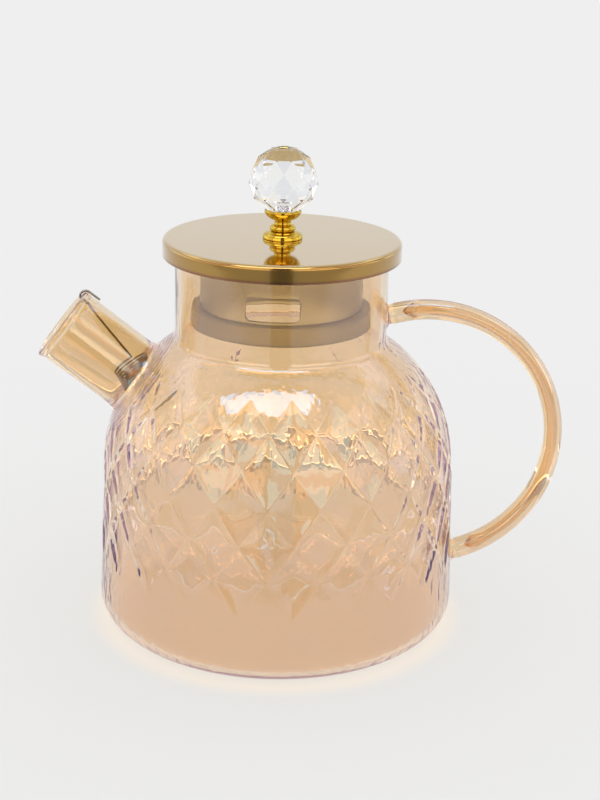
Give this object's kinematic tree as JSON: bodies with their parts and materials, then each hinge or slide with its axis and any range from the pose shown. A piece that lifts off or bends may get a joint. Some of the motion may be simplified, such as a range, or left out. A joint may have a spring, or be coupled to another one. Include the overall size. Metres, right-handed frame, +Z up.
{
  "type": "glass teapot",
  "caption": "Quilted amber-lustre glass teapot with a straight tube spout, a loop handle, a gold cap lid with a cut-glass knob and a wire strainer in the spout.",
  "frame": {"origin": "centre of the flat base on the axis of the body, on the table's plane", "axes": "+Z up along the body's axis, -X towards the spout, +X towards the handle"},
  "size_m": [0.2033, 0.1398, 0.1868],
  "materials": {
    "amber_glass": "polished, amber lustre",
    "spout_glass": "polished, amber lustre",
    "handle_glass": "polished, amber lustre",
    "gold_steel": "pale gold coated, satin mirror",
    "collar_plastic": "milky translucent",
    "seal_rubber": "translucent silicone",
    "gold_plate": "bright gold plated",
    "crystal": "clear cut crystal",
    "plain_steel": "plain stainless",
    "strainer_wire": "drawn stainless wire"
  },
  "bodies": {
    "pot": {"vessel": "amber_glass", "spout": "spout_glass", "handle": "handle_glass"},
    "lid_seal": {"seal_ring": "seal_rubber"},
    "lid": {"lid_cap": "gold_steel", "lid_collar": "collar_plastic", "knob_holder": "gold_plate", "crystal_ball": "crystal", "knob_stud": "plain_steel", "knob_washer": "plain_steel", "knob_nut": "plain_steel"},
    "strainer": {"strainer": "strainer_wire"}
  },
  "joints": [
    {"name": "lid_lift", "type": "slide", "parent": "pot", "child": "lid_seal", "axis": [0, 0, 1], "range_m": [0, 0.058]},
    {"name": "lid_turn", "type": "hinge", "parent": "lid_seal", "child": "lid", "pos_m": [0, 0, 0.1522], "axis": [0, 0, 1], "continuous": true},
    {"name": "strainer_pull", "type": "slide", "parent": "pot", "child": "strainer", "axis": [-0.7934, 0, 0.6088], "range_m": [0, 0.06]}
  ]
}
